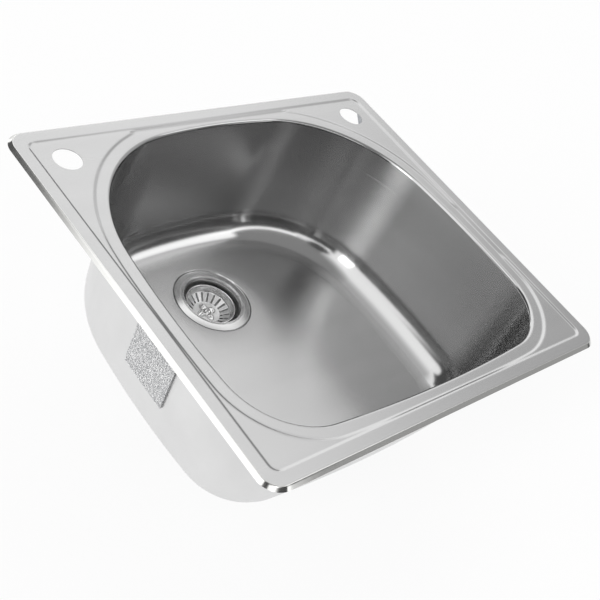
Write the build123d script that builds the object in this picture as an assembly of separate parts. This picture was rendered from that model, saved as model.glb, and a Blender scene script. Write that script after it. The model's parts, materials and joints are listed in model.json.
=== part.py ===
from build123d import *
import os
from math import atan, degrees

# A D-shaped single-bowl drop-in sink of pressed stainless steel, with its basket strainer and its
# mounting clips. The origin is the middle of the rim, in the plane of the worktop that the rim's
# lower edge rests on. +X points to the right, +Y to the back where the tap holes are, +Z up.
# All sizes are in millimetres.

# Flange
flange_width = 635.0        # 25 in, left to right
flange_length = 559.0       # 22 in, front to back
flange_corner = 28.0
sheet = 1.0
rim_height = 4.5            # top of the border above the worktop
bevel_run = 4.7             # width of the polished bevel round the edge
bevel_round = 1.5
border_width = 22.5         # edge of the flange to the middle of the first pressed step
deck_drop = 1.5
deck_corner = 10.0
ring_drop = 1.5
ring_width = 20.0           # the lowered band round the bowl
step_run = 3.0              # a pressed step slopes over this width
tap_hole_radius = 19.0
tap_spacing = 512.8
tap_setback = 57.9          # back edge of the flange to the middle of the tap holes

# Bowl, measured where its walls would meet the ring
side_margin = 45.0
back_margin = 34.5
front_margin = 41.0
side_arc = 1200.0
back_arc = 890.0
front_arc = 2300.0
widest_forward = 51.6       # the bowl is widest this far in front of the middle
back_corner = 196.0
front_corner = 101.0
bowl_depth = 209.0          # top of the border to the floor
draft = 4.6                 # slope of the walls, in degrees
floor_round = 50.0
lip_round = 5.5

# Drain
drain_left = 17.5           # middle of the drain to the left of the middle of the flange
drain_setback = 176.2       # back edge of the flange to the middle of the drain
drain_hole_radius = 44.45   # 3 1/2 in hole
dish_radius = 59.5
dish_depth = 2.2
dish_lead = 1.6             # the dish is this much smaller in radius at its floor

# Sound pads
pad_thickness = 2.5
pad_glue = 0.3              # the layer of glue between the sheet and a pad
pad_length = 80.0
pad_forward = 33.7          # middle of the pads, in front of the middle of the flange
side_pad_top = 32.0         # under the top of the border
side_pad_drop = 100.0
floor_pad_inset = 77.5      # edge of the flange to the pad's outer edge
floor_pad_width = 96.0
floor_pad_rise = 19.0       # how far the pad climbs the rounded edge of the floor

# Foam strip under the rim
seal_inset = 5.6
seal_width = 6.0
seal_lift = 0.2

# Clip rails, welded under the ring
rail_width = 12.0
rail_height = 18.0
rail_wall = 1.0
rail_slot = 5.8
rail_clear = 6.2            # wall of the bowl to a side or front rail, at the ring
back_rail_clear = -0.3      # the bowl is rounded away where the two back rails are
side_rail_length = 459.0
front_rail_length = 400.0
back_rail_length = 110.0
back_rail_middle = 160.0

# Clips, one on each side and back rail and two on the front rail
front_clip_middle = 110.0
screw_radius = 2.5
screw_length = 25.0
screw_top_gap = 1.0
screw_lead_in = 0.6
head_width = 8.0
head_height = 3.5
head_slot_width = 1.2
head_slot_depth = 1.4
nut_length = 12.0
nut_height = 4.0
washer_radius = 5.0
washer_height = 1.0
foot_width = 12.0
foot_height = 2.0
foot_reach = 34.0
foot_tip_rise = 4.4
tooth_depth = 1.2
tooth_count = 4

# Strainer, with heights and depths counted from the floor of the dish
strainer_radius = 57.15     # 4 1/2 in flange
strainer_wall = 1.2
strainer_edge = 0.8
crest_radius = 46.0
crest_height = 2.5
throat_radius = 42.4
throat_depth = 22.0
seat_radius = 33.0
seat_depth = 34.3
outlet_radius = 22.5
outlet_depth = 60.0
hub_radius = 6.0
hub_height = 6.0
hub_drop = 3.0
bar_width = 2.5
bar_height = 3.0
gasket_radius = 57.0
gasket_height = 3.0
friction_radius = 56.0
friction_height = 0.8
lock_nut_radius = 54.0
lock_nut_height = 13.0
lug_reach = 5.0
lug_width = 10.0
lug_count = 8
coupling_height = 20.0
coupling_wall = 5.0
coupling_lip = 2.5
coupling_sides = 8
tail_radius = 19.4          # takes a 1 1/2 in tailpiece
tail_washer_height = 2.5

# Basket, with depths counted from the floor of the dish
basket_radius = 37.0
basket_rim_depth = 6.8
basket_rim_radius = 1.3
basket_wall = 0.8
shoulder_radius = 34.8
shoulder_depth = 15.5
basket_floor_radius = 20.5
basket_floor_depth = 25.3
slot_count = 20
slot_width = 2.2
slot_start = 21.0
slot_end = 32.5
post_radius = 3.0
post_tail = 16.0            # below the seat
collar_radius = 6.0
stopper_radius = 28.0
stopper_height = 3.6
stopper_edge = 1.2
stopper_taper = 2.0
knob_height = 3.2
knob_round = 1.2
knob_centre_radius = 9.0
lobe_count = 4
lobe_radius = 5.5
lobe_reach = 11.0
post_head_radius = 4.5
post_head_height = 2.6
cross_length = 5.6
cross_width = 1.4
cross_depth = 1.5
snap_ring_radius = 5.5
snap_ring_height = 0.8
snap_ring_groove = 0.6

# Clearances
turning_gap = 0.05          # radial, a shaft in its hole
thread_gap = 0.1            # radial, nuts that stay put
face_gap = 0.1              # between flat faces that turn on each other
sliding_gap = 0.3

# Levels and places that follow from the sizes above
deck_level = rim_height - deck_drop
ring_level = deck_level - ring_drop
rail_level = ring_level - sheet
floor_level = rim_height - bowl_depth
dish_level = floor_level - dish_depth
bowl_half = flange_width / 2 - side_margin
bowl_back = flange_length / 2 - back_margin
bowl_front = flange_length / 2 - front_margin
step_slope = step_run / deck_drop
pad_inside = sheet + pad_glue
strainer_outside = throat_radius + strainer_wall
outlet_outside = outlet_radius + strainer_wall
lock_nut_depth = sheet + gasket_height + friction_height + lock_nut_height
stopper_depth = seat_depth - sliding_gap
knob_depth = basket_floor_depth - basket_wall - face_gap
screw_top = -rail_wall - screw_top_gap
screw_seat = screw_top - screw_length
drain = Pos(-drain_left, flange_length / 2 - drain_setback, dish_level)
upright = (Align.CENTER, Align.CENTER, Align.MIN)
hanging = (Align.CENTER, Align.CENTER, Align.MAX)


def bowl_outline(grow):
    """The D: four long bowed sides with rounded corners, moved outwards by grow."""
    back = Pos(0, bowl_back - back_arc) * Circle(back_arc + grow)
    front = Pos(0, front_arc - bowl_front) * Circle(front_arc + grow)
    right = Pos(bowl_half - side_arc, -widest_forward) * Rot(0, 0, 180) * Circle(side_arc + grow)
    left = Pos(side_arc - bowl_half, -widest_forward) * Circle(side_arc + grow)
    outline = back & front & right & left
    outline = fillet(outline.vertices().group_by(Axis.Y)[-1], back_corner + grow)
    return fillet(outline.vertices().group_by(Axis.Y)[0], front_corner + grow)


def bowl_space(grow):
    """The space of the bowl with its skin moved outwards by grow: sloping walls, rounded floor."""
    depth = ring_level - floor_level + grow
    space = Pos(0, 0, ring_level) * extrude(bowl_outline(grow), depth, dir=(0, 0, -1), taper=draft)
    return fillet(space.faces().sort_by(Axis.Z)[0].edges(), floor_round + grow)


def deck_space():
    """The space above the deck, inside the first pressed step."""
    width = flange_width - 2 * border_width - step_run
    length = flange_length - 2 * border_width - step_run
    outline = RectangleRounded(width, length, deck_corner)
    return Pos(0, 0, deck_level) * extrude(outline, 2 * deck_drop, taper=-degrees(atan(step_slope)))


def ring_section(height):
    """The ring's outline at a height above the ring: the D grown, kept inside the deck's sides."""
    grow = height * step_slope
    width = flange_width - 2 * border_width - 3 * step_run + 2 * grow
    length = flange_length - 2 * border_width - 3 * step_run + 2 * grow
    outline = bowl_outline(ring_width - step_run / 2 + grow) & Rectangle(width, length)
    return Pos(0, 0, ring_level + height) * outline


def flange_block():
    """A block whose top is the flange's top face: bevelled edge, border, deck and ring."""
    outline = RectangleRounded(flange_width, flange_length, flange_corner)
    block = extrude(outline, rim_height, taper=degrees(atan(bevel_run / rim_height)))
    block = fillet(block.faces().sort_by(Axis.Z)[-1].edges(), bevel_round)
    ring_space = loft([ring_section(0), ring_section(deck_drop + 2 * ring_drop)], ruled=True)
    return block - deck_space() - ring_space


def hole_edges(shape, level):
    """The edges of the hole in the largest flat face of the shape at this level."""
    faces = [f for f in shape.faces().filter_by(Plane.XY) if abs(f.center().Z - level) < sheet / 10]
    return max(faces, key=lambda f: f.area).inner_wires()[0].edges()


def drain_dish(grow, top):
    """The round dish stamped round the drain, up to a level, its skin moved outwards by grow."""
    height = top - dish_level + grow
    dish = Cone(dish_radius - dish_lead + grow, dish_radius + grow, height, align=upright)
    return drain * Pos(0, 0, -grow) * dish


def sink_shell():
    """The pressed sink: one sheet that makes the flange, the ring, the bowl and the drain's dish."""
    block = flange_block()
    shell = block - Pos(0, 0, -sheet) * block
    shell = shell + bowl_space(sheet) - bowl_space(0)
    shell = fillet(hole_edges(shell, ring_level), lip_round)
    shell = fillet(hole_edges(shell, rail_level), lip_round - sheet)
    shell = shell + drain_dish(sheet, floor_level - sheet / 2) - drain_dish(0, floor_level)
    shell = shell - drain * Cylinder(drain_hole_radius, 4 * sheet)
    tap_y = flange_length / 2 - tap_setback
    for side in (-1, 1):
        hole = Cylinder(tap_hole_radius, 4 * sheet)
        shell = shell - Pos(side * tap_spacing / 2, tap_y, deck_level) * hole
    return shell


def bowl_skin():
    """A layer as thick as the sound pads all over the outside of the bowl, over the glue."""
    return bowl_space(pad_inside + pad_thickness) - bowl_space(pad_inside)


def sound_pad_side():
    """The pad stuck on the left wall."""
    corner = (Align.MAX, Align.CENTER, Align.MAX)
    window = Box(flange_width / 2, pad_length, side_pad_drop, align=corner)
    return bowl_skin() & Pos(0, -pad_forward, rim_height - side_pad_top) * window


def sound_pad_floor():
    """The pad stuck under the floor, bent up round the rounded edge of the floor on the left."""
    corner = (Align.MIN, Align.CENTER, Align.MIN)
    window = Box(floor_pad_width, pad_length, floor_pad_rise, align=corner)
    left = floor_pad_inset - flange_width / 2
    return bowl_skin() & Pos(left, -pad_forward, floor_level - pad_inside - pad_thickness) * window


def rim_seal():
    """The foam strip under the border, all the way round."""
    inset = seal_inset + seal_width
    outer = RectangleRounded(flange_width - 2 * seal_inset, flange_length - 2 * seal_inset,
                             flange_corner - seal_inset)
    inner = RectangleRounded(flange_width - 2 * inset, flange_length - 2 * inset, flange_corner - inset)
    return Pos(0, 0, seal_lift) * extrude(outer - inner, rim_height - sheet - seal_lift)


def rail(length):
    """A channel along X, open below through a slot, its ends cut back at 45 degrees."""
    half = length / 2
    low = half - rail_height
    side = Polyline((-half, 0), (half, 0), (low, -rail_height), (-low, -rail_height), close=True)
    bar = extrude(Plane.XZ * make_face(side), rail_width / 2, both=True)
    hollow = Box(length, rail_width - 2 * rail_wall, rail_height - 2 * rail_wall, align=hanging)
    slot = Box(length, rail_slot, rail_height, align=hanging)
    return bar - Pos(0, 0, -rail_wall) * hollow - Pos(0, 0, -2 * rail_wall) * slot


def rail_places():
    """Each rail's length and place, with the rail's own +Y pointing away from the bowl."""
    side_x = bowl_half + rail_clear + rail_width / 2
    front_y = bowl_front + rail_clear + rail_width / 2
    back_y = bowl_back + back_rail_clear + rail_width / 2
    return {
        "left": (side_rail_length, Pos(-side_x, 0, rail_level) * Rot(0, 0, 90)),
        "right": (side_rail_length, Pos(side_x, 0, rail_level) * Rot(0, 0, -90)),
        "front": (front_rail_length, Pos(0, -front_y, rail_level) * Rot(0, 0, 180)),
        "back_left": (back_rail_length, Pos(-back_rail_middle, back_y, rail_level)),
        "back_right": (back_rail_length, Pos(back_rail_middle, back_y, rail_level)),
    }


def clip_places():
    """Each clip's place on its rail, with the clip's screw on the place's Z axis."""
    places = {name: place for name, (length, place) in rail_places().items()}
    front = places.pop("front")
    places["front_left"] = front * Pos(front_clip_middle, 0, 0)
    places["front_right"] = front * Pos(-front_clip_middle, 0, 0)
    return places


def clip_nut():
    """The nut that slides in a rail."""
    bottom = -rail_height + rail_wall + sliding_gap
    width = rail_width - 2 * rail_wall - 2 * sliding_gap
    nut = Box(nut_length, width, nut_height, align=upright)
    nut = chamfer(nut.edges().filter_by(Axis.Z), rail_wall)
    nut = nut - Cylinder(screw_radius + turning_gap, nut_height, align=upright)
    return Pos(0, 0, bottom) * nut


def clip_screw():
    """The clip's screw, with a six-sided head below and a slot for a screwdriver in it."""
    shank = Cylinder(screw_radius, screw_length, align=hanging)
    shank = chamfer(shank.edges().sort_by(Axis.Z)[-1], screw_lead_in)
    head = extrude(RegularPolygon(head_width / 2, 6, major_radius=False), -head_height)
    head = head - Pos(0, 0, -head_height) * Box(2 * head_width, head_slot_width, 2 * head_slot_depth)
    return Pos(0, 0, screw_top) * (shank + Pos(0, 0, -screw_length) * head)


def clip_washer():
    """The washer between the screw's head and the foot."""
    washer = Cylinder(washer_radius, washer_height, align=upright)
    washer = washer - Cylinder(screw_radius + turning_gap, washer_height, align=upright)
    return Pos(0, 0, screw_seat + face_gap) * washer


def clip_foot():
    """The foot, lying along the rail: a flat arm with a toothed tip bent up at its end."""
    half = foot_width / 2
    top = foot_height + foot_tip_rise
    inner = foot_reach - foot_height
    side = Polyline((-half, 0), (foot_reach, 0), (foot_reach, top), (inner, top),
                    (inner, foot_height), (-half, foot_height), close=True)
    face = make_face(side)
    face = fillet(face.vertices().sort_by_distance((foot_reach, 0, 0))[0], foot_height)
    foot = extrude(Plane.XZ * face, half, both=True)
    foot = fillet(foot.edges().filter_by(Axis.Z).group_by(Axis.X)[0], half - sliding_gap)
    groove = Rot(45, 0, 0) * Box(4 * foot_height, tooth_depth, tooth_depth)
    for number in range(1, tooth_count):
        foot = foot - Pos(foot_reach, number * foot_width / tooth_count - half, top) * groove
    foot = foot - Cylinder(screw_radius + turning_gap, 3 * foot_height)
    return Pos(0, 0, screw_seat + washer_height + 2 * face_gap) * foot


def turned(*points):
    """A round body about the Z axis, from the (radius, height) points of its section."""
    return revolve(Plane.XZ * make_face(Polyline(*points, close=True)), Axis.Z)


def flat_ring(inner, outer, depth, height):
    """A plain ring about the Z axis, its top face at a depth."""
    return turned((inner, -depth), (outer, -depth), (outer, -depth - height), (inner, -depth - height))


def round_row(count, shape):
    """Copies of a shape, spread evenly round the Z axis."""
    return [Rot(0, 0, 360 * number / count) * shape for number in range(count)]


def strainer_body():
    """The strainer's cup: flange, throat, seat and outlet, with the cross that guides the post."""
    below_seat = seat_depth + strainer_wall
    shell = turned(
        (strainer_radius, 0), (strainer_radius, strainer_edge), (crest_radius, crest_height),
        (throat_radius, crest_height - strainer_wall), (throat_radius, -throat_depth),
        (seat_radius, -seat_depth), (outlet_radius, -seat_depth), (outlet_radius, -outlet_depth),
        (outlet_outside, -outlet_depth), (outlet_outside, -below_seat), (seat_radius, -below_seat),
        (strainer_outside, -throat_depth), (strainer_outside, 0),
        (crest_radius, crest_height - strainer_wall), (strainer_radius - 2 * strainer_wall, 0))
    hub = Cylinder(hub_radius, hub_height, align=hanging)
    bar = Box(2 * outlet_radius + strainer_wall, bar_width, bar_height, align=hanging)
    guide = hub + bar + Rot(0, 0, 90) * bar - Cylinder(post_radius + turning_gap, 3 * hub_height)
    return shell + Pos(0, 0, -seat_depth - hub_drop) * guide


def strainer_gasket():
    """The rubber ring between the sink's floor and the friction ring."""
    return flat_ring(strainer_outside + thread_gap, gasket_radius, sheet, gasket_height)


def friction_ring():
    """The fibre ring that lets the lock nut turn without dragging the gasket."""
    depth = sheet + gasket_height
    return flat_ring(strainer_outside + thread_gap, friction_radius, depth, friction_height)


def lock_nut():
    """The large nut that clamps the strainer to the sink, with lugs round it."""
    nut = flat_ring(strainer_outside + thread_gap, lock_nut_radius,
                    lock_nut_depth - lock_nut_height, lock_nut_height)
    lug = Box(2 * lug_reach, lug_width, lock_nut_height, align=upright)
    return nut + round_row(lug_count, Pos(lock_nut_radius, 0, -lock_nut_depth) * lug)


def coupling_nut():
    """The nut on the strainer's outlet that takes the drain pipe."""
    inner = outlet_outside + thread_gap
    outline = RegularPolygon(inner + coupling_wall, coupling_sides, major_radius=False)
    nut = extrude(outline, coupling_height) - Cylinder(tail_radius, 2 * coupling_height)
    nut = nut - Pos(0, 0, coupling_lip) * Cylinder(inner, coupling_height, align=upright)
    return Pos(0, 0, -outlet_depth - tail_washer_height - coupling_lip) * nut


def tail_washer():
    """The soft washer that seals the drain pipe to the outlet."""
    return flat_ring(tail_radius, outlet_outside, outlet_depth, tail_washer_height)


def basket_cup():
    """The basket: a pressed cup with a rolled rim and a ring of slots."""
    floor = -basket_floor_depth
    hole = post_radius + turning_gap
    cup = turned(
        (basket_radius, -basket_rim_depth), (shoulder_radius, -shoulder_depth),
        (basket_floor_radius, floor), (hole, floor), (hole, floor + basket_wall),
        (basket_floor_radius, floor + basket_wall),
        (shoulder_radius - basket_wall, -shoulder_depth),
        (basket_radius - basket_wall, -basket_rim_depth))
    cup = cup + Pos(0, 0, -basket_rim_depth) * Torus(basket_radius, basket_rim_radius)
    outline = SlotCenterToCenter(slot_end - slot_start - slot_width, slot_width)
    slot = extrude(outline, basket_floor_depth - shoulder_depth + basket_wall)
    slot = Pos((slot_start + slot_end) / 2, 0, floor - basket_wall) * slot
    return cup - round_row(slot_count, slot)


def basket_knob():
    """The lobed plate on the basket's floor that the fingers turn and lift."""
    lobe = Pos(lobe_reach, 0) * Circle(lobe_radius)
    outline = Circle(knob_centre_radius) + round_row(lobe_count, lobe)
    knob = extrude(outline, knob_height)
    knob = fillet(knob.faces().sort_by(Axis.Z)[-1].edges(), knob_round)
    knob = knob - Cylinder(post_radius + turning_gap, 3 * knob_height)
    return Pos(0, 0, -knob_depth) * knob


def basket_post():
    """The post: a head with a cross recess, a shank, a collar and a groove for the snap ring."""
    head_bottom = knob_height - knob_depth
    head_top = head_bottom + post_head_height
    collar_top = -basket_floor_depth - face_gap
    collar_bottom = stopper_height - stopper_depth
    groove_radius = post_radius - snap_ring_groove
    groove_bottom = -stopper_depth - snap_ring_height
    tail = -seat_depth - post_tail
    post = turned(
        (0, tail), (post_radius, tail), (post_radius, groove_bottom), (groove_radius, groove_bottom),
        (groove_radius, -stopper_depth), (post_radius, -stopper_depth), (post_radius, collar_bottom),
        (collar_radius, collar_bottom), (collar_radius, collar_top), (post_radius, collar_top),
        (post_radius, head_bottom), (post_head_radius, head_bottom),
        (post_head_radius, head_top - post_head_height / 3),
        (post_head_radius * 2 / 3, head_top), (0, head_top))
    bar = Box(cross_length, cross_width, 2 * cross_depth)
    return post - Pos(0, 0, head_top) * (bar + Rot(0, 0, 90) * bar)


def basket_stopper():
    """The rubber stopper that closes the seat."""
    bottom = -stopper_depth
    top = bottom + stopper_height
    hole = post_radius + turning_gap
    return turned((hole, bottom), (stopper_radius - stopper_taper, bottom),
                  (stopper_radius, bottom + stopper_edge), (stopper_radius - stopper_taper, top),
                  (hole, top))


def snap_ring():
    """The open spring ring in the post's groove that holds the stopper up."""
    inner = post_radius - snap_ring_groove + turning_gap
    clip = flat_ring(inner, snap_ring_radius, stopper_depth, snap_ring_height)
    gap = Box(snap_ring_radius, inner, 4 * snap_ring_height, align=(Align.MIN, Align.CENTER, Align.CENTER))
    return clip - Pos(0, 0, -stopper_depth) * gap


os.makedirs("parts", exist_ok=True)
export_step(sink_shell(), "parts/sink_shell.step")
export_step(sound_pad_side(), "parts/sound_pad_side.step")
export_step(sound_pad_floor(), "parts/sound_pad_floor.step")
export_step(rim_seal(), "parts/rim_seal.step")
for name, (length, place) in rail_places().items():
    export_step(place * rail(length), f"parts/rail_{name}.step")
for name, place in clip_places().items():
    export_step(place * clip_nut(), f"parts/clip_nut_{name}.step")
    export_step(place * clip_washer(), f"parts/clip_washer_{name}.step")
    export_step(place * clip_screw(), f"parts/clip_screw_{name}.step")
    export_step(place * clip_foot(), f"parts/clip_foot_{name}.step")
export_step(drain * strainer_body(), "parts/strainer_body.step")
export_step(drain * strainer_gasket(), "parts/strainer_gasket.step")
export_step(drain * friction_ring(), "parts/friction_ring.step")
export_step(drain * lock_nut(), "parts/lock_nut.step")
export_step(drain * coupling_nut(), "parts/coupling_nut.step")
export_step(drain * tail_washer(), "parts/tail_washer.step")
export_step(drain * basket_cup(), "parts/basket_cup.step")
export_step(drain * basket_knob(), "parts/basket_knob.step")
export_step(drain * basket_post(), "parts/basket_post.step")
export_step(drain * basket_stopper(), "parts/basket_stopper.step")
export_step(drain * snap_ring(), "parts/snap_ring.step")
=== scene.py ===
import json
import bpy
import numpy as np
from mathutils import Matrix


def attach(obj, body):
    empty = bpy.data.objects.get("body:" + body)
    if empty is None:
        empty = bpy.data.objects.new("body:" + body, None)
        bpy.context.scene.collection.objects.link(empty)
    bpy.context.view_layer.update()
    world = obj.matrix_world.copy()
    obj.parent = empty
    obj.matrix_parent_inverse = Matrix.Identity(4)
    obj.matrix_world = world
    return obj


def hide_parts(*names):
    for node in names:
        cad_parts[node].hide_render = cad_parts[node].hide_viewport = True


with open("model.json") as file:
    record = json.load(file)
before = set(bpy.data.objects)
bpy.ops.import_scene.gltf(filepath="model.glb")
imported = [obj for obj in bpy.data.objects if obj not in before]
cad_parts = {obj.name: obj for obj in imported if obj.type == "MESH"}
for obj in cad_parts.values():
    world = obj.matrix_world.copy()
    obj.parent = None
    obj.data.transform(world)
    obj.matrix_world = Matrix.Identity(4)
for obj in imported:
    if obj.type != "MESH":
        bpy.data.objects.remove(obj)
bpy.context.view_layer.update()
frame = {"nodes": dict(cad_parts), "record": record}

# A drop-in sink pressed from stainless sheet. Shapes are worked out in millimetres and turned to
# metres when a mesh is made. The numbers are those of the CAD source.
MM = 0.001

half_width, half_length = 317.5, 279.5
flange_corner = 28.0
border_level, ring_level = 4.5, 1.5
step_height, step_width = 1.5, 5.0
bevel_width, bevel_round = 4.7, 1.5
sheet = 1.0
floor_level, dish_level = -204.5, -206.7
draft = np.radians(4.6)
floor_round, lip_round = 50.0, 5.5
drain = np.array([-17.5, 103.3])
hole_radius = 44.45
tap_holes = np.array([[-256.4, 221.6], [256.4, 221.6]])
tap_radius = 19.0


# Meshes

def make_mesh(name, points, faces, materials, body, stands_for, slot, face_materials=None,
              uv=None, sharp=35):
    """One mesh object from points in mm and faces, smooth except where faces meet at more than
    the sharp angle; it rides on a CAD body and stands for the named CAD nodes."""
    mesh = bpy.data.meshes.new(name)
    mesh.from_pydata((np.asarray(points) * MM).tolist(), [], [list(map(int, f)) for f in faces])
    for material in materials:
        mesh.materials.append(material)
    if face_materials is not None:
        mesh.polygons.foreach_set("material_index", np.asarray(face_materials, np.int32))
    mesh.polygons.foreach_set("use_smooth", np.ones(len(faces), bool))
    if uv is not None:
        layer = mesh.uv_layers.new(name="grain")
        layer.data.foreach_set("uv", (np.asarray(uv) * MM).astype(np.float32).ravel())
    mesh.set_sharp_from_angle(angle=np.radians(sharp))
    mesh.update()
    thing = bpy.data.objects.new(name, mesh)
    bpy.context.scene.collection.objects.link(thing)
    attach(thing, body)
    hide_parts(*stands_for)


def strip(first, second):
    """The faces between closed loops of points, given by the points' numbers along the last axis
    of both."""
    return np.stack([first, np.roll(first, -1, -1), np.roll(second, -1, -1), second], -1)


def woven(rows, columns, closed=True):
    """The faces of a grid of points numbered row by row, whose columns go round. Where it is
    closed, its last row joins the first."""
    r = np.arange(rows if closed else rows - 1)[:, None]
    c = np.arange(columns)
    return strip(r * columns + c, (r + 1) % rows * columns + c)


# The sink's outline and heights

def fillet_centre(circle, other, radius, quadrant):
    """The middle of an arc that touches two larger circles from inside: it lies on both circles
    shrunk by the arc's radius, at whichever of their two crossings is in the quadrant."""
    (a, ra), (b, rb) = circle, other
    a, b = np.array(a, float), np.array(b, float)
    ra, rb = ra - radius, rb - radius
    gap = np.linalg.norm(b - a)
    along = (ra ** 2 - rb ** 2 + gap ** 2) / (2 * gap)
    aside = np.sqrt(ra ** 2 - along ** 2)
    way = (b - a) / gap
    side = np.array([-way[1], way[0]])
    both = [a + way * along + side * aside * s for s in (-1, 1)]
    return max(both, key=lambda p: p @ np.array(quadrant))


def bowl_arcs():
    """The D as eight arcs, anticlockwise from the right side: centre, radius, first and last
    direction of the outward normal."""
    side_round, back_round, front_round = 1200.0, 890.0, 2300.0
    side_reach, back_reach, front_reach, side_middle = 272.5, 245.0, 238.5, -51.6
    back_corner, front_corner = 196.0, 101.0
    right = ((side_reach - side_round, side_middle), side_round)
    left = ((side_round - side_reach, side_middle), side_round)
    back = ((0.0, back_reach - back_round), back_round)
    front = ((0.0, front_round - front_reach), front_round)
    rounds = [(right, back, back_corner, (1, 1)), (back, left, back_corner, (-1, 1)),
              (left, front, front_corner, (-1, -1)), (front, right, front_corner, (1, -1))]
    corners, joins = [], []
    for first, second, radius, quadrant in rounds:
        centre = fillet_centre(first, second, radius, quadrant)
        turns = [np.arctan2(*(centre - np.array(c[0]))[::-1]) for c in (first, second)]
        corners.append((centre, radius))
        joins.append(np.mod(turns, 2 * np.pi))
    arcs = []
    for k, side in enumerate((right, back, left, front)):
        start, end = joins[k - 1][1], joins[k][0]
        arcs.append((np.array(side[0]), side[1], start - (2 * np.pi if start > end else 0), end))
        arcs.append((corners[k][0], corners[k][1], joins[k][0], joins[k][1]))
    return arcs


ARCS = bowl_arcs()


def around_bowl(count):
    """Places along the D: arc number and normal direction, closest together where the flange's
    corners are, from a density along the D that is summed and then cut into equal parts."""
    fine = 12000
    lengths = np.array([r * (b - a) for _, r, a, b in ARCS])
    ends = np.concatenate([[0], np.cumsum(lengths)])
    s = (np.arange(fine) + 0.5) / fine * ends[-1]
    arc = np.clip(np.searchsorted(ends, s) - 1, 0, 7)
    first = np.array([a for _, _, a, _ in ARCS])
    radius = np.array([r for _, r, _, _ in ARCS])
    turn = first[arc] + (s - ends[arc]) / radius[arc]
    centre = np.array([c for c, _, _, _ in ARCS])
    place = centre[arc] + radius[arc, None] * np.stack([np.cos(turn), np.sin(turn)], 1)
    angle = np.degrees(np.arctan2(place[:, 1], place[:, 0]))
    tight, flange_corners, spread_angle = 300, (41.3, 138.7, -41.3, -138.7), 4.5
    density = 1.0 + 0.4 * (radius[arc] < tight)
    for corner in flange_corners:
        density = density + 1.6 * np.exp(-((angle - corner) / spread_angle) ** 2)
    total = np.cumsum(density)
    pick = np.interp((np.arange(count) + 0.5) / count * total[-1], total, s)
    arc = np.clip(np.searchsorted(ends, pick) - 1, 0, 7)
    return arc, first[arc] + (pick - ends[arc]) / radius[arc], pick


COLUMNS = 480
COLUMN_ARC, COLUMN_TURN, COLUMN_RUN = around_bowl(COLUMNS)


def bowl_curve(offset):
    """The D moved outwards by an offset: each arc keeps its centre and its radius grows."""
    centre = np.array([ARCS[k][0] for k in COLUMN_ARC])
    radius = np.array([ARCS[k][1] for k in COLUMN_ARC]) + offset
    way = np.stack([np.cos(COLUMN_TURN), np.sin(COLUMN_TURN)], 1)
    return centre + radius[:, None] * way


def bowl_distance(xy):
    """How far points lie outside the D: the distance to the arc whose sector holds the point."""
    best = np.full(len(xy), 1e3)
    for centre, radius, first, last in ARCS:
        rel = xy - centre
        angle = np.mod(np.arctan2(rel[:, 1], rel[:, 0]) - first, 2 * np.pi)
        inside = angle <= (last - first) + 1e-9
        best = np.where(inside, np.linalg.norm(rel, axis=1) - radius, best)
    return best


def rectangle_distance(xy, half_x, half_y, corner):
    """How far points lie inside a rounded rectangle: the usual distance to its rounded edge."""
    q = np.abs(xy) - np.array([half_x - corner, half_y - corner])
    outside = np.linalg.norm(np.maximum(q, 0), axis=1)
    return corner - outside - np.minimum(np.maximum(q[:, 0], q[:, 1]), 0)


def flange_curve(inset, angles):
    """The flange's outline moved in by an inset, met by rays from the middle at the angles: a
    straight side, or the corner's circle where the ray passes through a rounded corner."""
    least_corner = 9.0
    a, b = half_width - inset, half_length - inset
    r = max(flange_corner - inset, least_corner)
    c, s = np.abs(np.cos(angles)), np.abs(np.sin(angles))
    t = np.minimum(a / c, b / s)
    in_corner = (t * c > a - r) & (t * s > b - r)
    reach = c * (a - r) + s * (b - r)
    root = np.sqrt(np.maximum(reach ** 2 - (a - r) ** 2 - (b - r) ** 2 + r ** 2, 0))
    t = np.where(in_corner, reach + root, t)
    return t[:, None] * np.stack([np.cos(angles), np.sin(angles)], 1)


def ease(t):
    """A soft step from 0 to 1 that starts and ends level: 3 t squared less 2 t cubed."""
    t = np.clip(t, 0, 1)
    return t * t * (3 - 2 * t)


def flange_height(xy):
    """The height of the flange's face: the border, a soft pressed step down to the deck, and a
    second one down to the ring round the bowl. The ring ends at its own width from the bowl or a
    little inside the deck, with a smooth minimum between the two."""
    deck_inset, deck_corner, ring_width, apart, blend = 22.5, 11.5, 20.0, 3.0, 4.0
    deck = rectangle_distance(xy, half_width - deck_inset, half_length - deck_inset, deck_corner)
    outer = ring_width - bowl_distance(xy)
    within = deck - apart
    mix = np.clip(0.5 + 0.5 * (outer - within) / blend, 0, 1)
    ring = outer * (1 - mix) + within * mix - blend * mix * (1 - mix)
    drop = ease(deck / step_width + 0.5) + ease(ring / step_width + 0.5)
    return border_level - step_height * drop


def with_height(xy, z):
    """Points in space from points in the plane and a height or heights."""
    return np.column_stack([xy, np.broadcast_to(z, len(xy))])


def bevel_profile():
    """The polished bevel as (inset, height): a slope up from the worktop, then a small arc that
    ends level with the border."""
    slope = np.arctan2(border_level, bevel_width)
    tangent = bevel_round * np.tan(slope / 2)
    turn = np.linspace(slope, 0, 6)
    inset = bevel_width + tangent - bevel_round * np.sin(turn)
    height = border_level - bevel_round + bevel_round * np.cos(turn)
    lower = [[x, x * border_level / bevel_width] for x in (0.0, 1.5, 3.1)]
    return np.concatenate([lower, np.column_stack([inset, height])])


def under_bevel():
    """The bevel's underside as (inset, height) of the points above it, in a few straight parts."""
    start, knee = sheet * bevel_width / border_level, 3.1
    return [[start, sheet], [knee, knee * border_level / bevel_width], [4.265, 4.083], [5.303, border_level]]


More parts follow.
